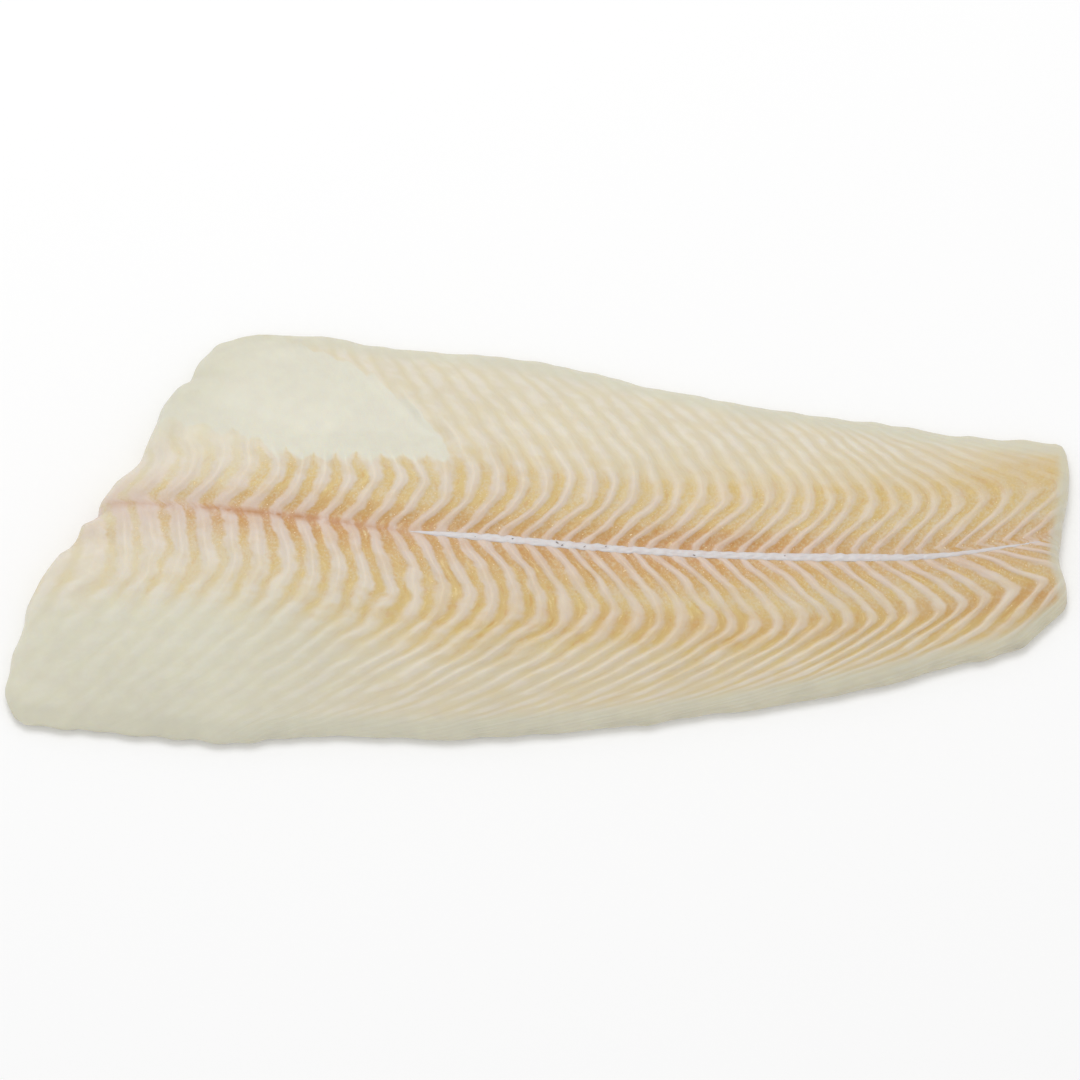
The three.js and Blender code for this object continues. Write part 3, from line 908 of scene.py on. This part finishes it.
# Connective tissue, torn from the backbone with the fillet: dense, wet and bluish white.
tissueLook = {
    "surface": {
        "Roughness": 0.34,
        "IOR": 1.38,
        "Coat Weight": 0.3,
        "Coat Roughness": 0.25,
        "Subsurface Weight": 0.15,
        "Subsurface Radius": (1, 0.8, 0.6),
        "Subsurface Scale": 0.8 * mm,
    },
    "white": "#d6d2d1",
    "rosy": "#d5c6c2",
    "rosyFrom": (0.45, 0.75),    # of the noise: where it starts to show and shows most
    "rosyMost": 0.8,
    "patchSize": 2.4,
    "bumpStrength": 0.5,
    "bumpDepth": 0.1,
}


def whiteTissue():
    look = tissueLook
    material, tree, shader = startMaterial("wet connective tissue, torn", look["surface"])
    place = addNode(tree, "TexCoord", {}, "Object")
    settings = {"Vector": place, "Scale": 1 / (look["patchSize"] * mm), "Detail": 3}
    patches = addNode(tree, "TexNoise", settings)
    low, high = look["rosyFrom"]
    amount = addNode(tree, "MapRange", {
        "Value": patches, "From Min": low, "From Max": high, "To Max": look["rosyMost"]})
    sockets = {0: amount, 6: linear(look["white"]), 7: linear(look["rosy"])}
    colour = addNode(tree, "Mix", sockets, 2, data_type="RGBA")
    bump = addNode(tree, "Bump", {
        "Strength": look["bumpStrength"], "Distance": look["bumpDepth"] * mm, "Height": patches})
    tree.links.new(colour, shader.inputs["Base Color"])
    tree.links.new(bump, shader.inputs["Normal"])
    return material


# Blood and belly pigment that the knife left and that dried on: small, matt and grey brown.
pigmentLook = {"dark": "#7d6f68", "light": "#a39a96", "patchSize": 0.5, "surface": {"Roughness": 0.6}}


def darkPigment():
    look = pigmentLook
    material, tree, shader = startMaterial("fish pigment, dried on", look["surface"])
    place = addNode(tree, "TexCoord", {}, "Object")
    patches = addNode(tree, "TexNoise", {"Vector": place, "Scale": 1 / (look["patchSize"] * mm)})
    sockets = {0: patches, 6: linear(look["dark"]), 7: linear(look["light"])}
    colour = addNode(tree, "Mix", sockets, 2, data_type="RGBA")
    tree.links.new(colour, shader.inputs["Base Color"])
    return material


# A white board, painted matt, in plain soft studio light.
stage = {
    "floorSide": 8,              # metres
    "floorDrop": 0.1,            # below the fillet, so that no two faces lie in one plane
    "floorColour": "#ffffff",
    "floorSurface": {"Roughness": 0.9, "Specular IOR Level": 0.1},
    "skyStrength": 0.74,
    "lampPlace": (-0.25, 0.9, 1.9),
    "lampSide": 1.2,
    "lampWatts": 13,
}


def makeFloor():
    startFresh()
    bpy.ops.mesh.primitive_plane_add(size=stage["floorSide"], location=(0, 0, -stage["floorDrop"] * mm))
    floor = bpy.context.object
    floor.name = "paleFloor"
    material, _, shader = startMaterial("pale painted board", stage["floorSurface"])
    shader.inputs["Base Color"].default_value = linear(stage["floorColour"])
    floor.data.materials.append(material)


def makeLight():
    world = bpy.data.worlds.new("softSky")
    world.use_nodes = True
    background = world.node_tree.nodes["Background"]
    background.inputs["Color"].default_value = (1, 1, 1, 1)
    background.inputs["Strength"].default_value = stage["skyStrength"]
    bpy.context.scene.world = world
    bpy.ops.object.light_add(type="AREA", location=stage["lampPlace"])
    lamp = bpy.context.object
    lamp.name = "softLamp"
    lamp.data.size = stage["lampSide"]
    lamp.data.energy = stage["lampWatts"]
    lamp.rotation_euler = (-Vector(stage["lampPlace"])).to_track_quat("-Z", "Y").to_euler()


# The camera looks down at the fillet from 68 degrees above the floor, through a long lens.
shot = {"elevation": 68, "distance": 2147, "aim": (-0.57, -0.58, 0), "lens": 200}


def makeCamera():
    tilt = math.radians(shot["elevation"])
    aim = Vector(shot["aim"]) * mm
    back = Vector((0, -math.cos(tilt), math.sin(tilt)))
    camera = bpy.data.objects.new("photoCamera", bpy.data.cameras.new("photoCamera"))
    bpy.context.scene.collection.objects.link(camera)
    camera.location = aim + back * shot["distance"] * mm
    camera.rotation_euler = (-back).to_track_quat("-Z", "Y").to_euler()
    camera.data.lens = shot["lens"]
    bpy.context.scene.camera = camera


def finishPiece(piece, material):
    piece.data.materials.append(material)
    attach(piece, "root")


bpy.context.scene.view_settings.view_transform = "Standard"
makeCamera()
makeFloor()
makeLight()
print("camera, floor and light are set")

sheet = topSheet()
centreX, centreY = ((side.min() + side.max()) / 2 for side in sheet[:2])
print("surface of the flesh worked out")

halibut = makeFlesh(*sheet)
finishPiece(halibut, rawMuscle())
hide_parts("fillet")
finishPiece(makeRibbon(), whiteTissue())
finishPiece(makeFlecks(), darkPigment())
print("pieces finished")
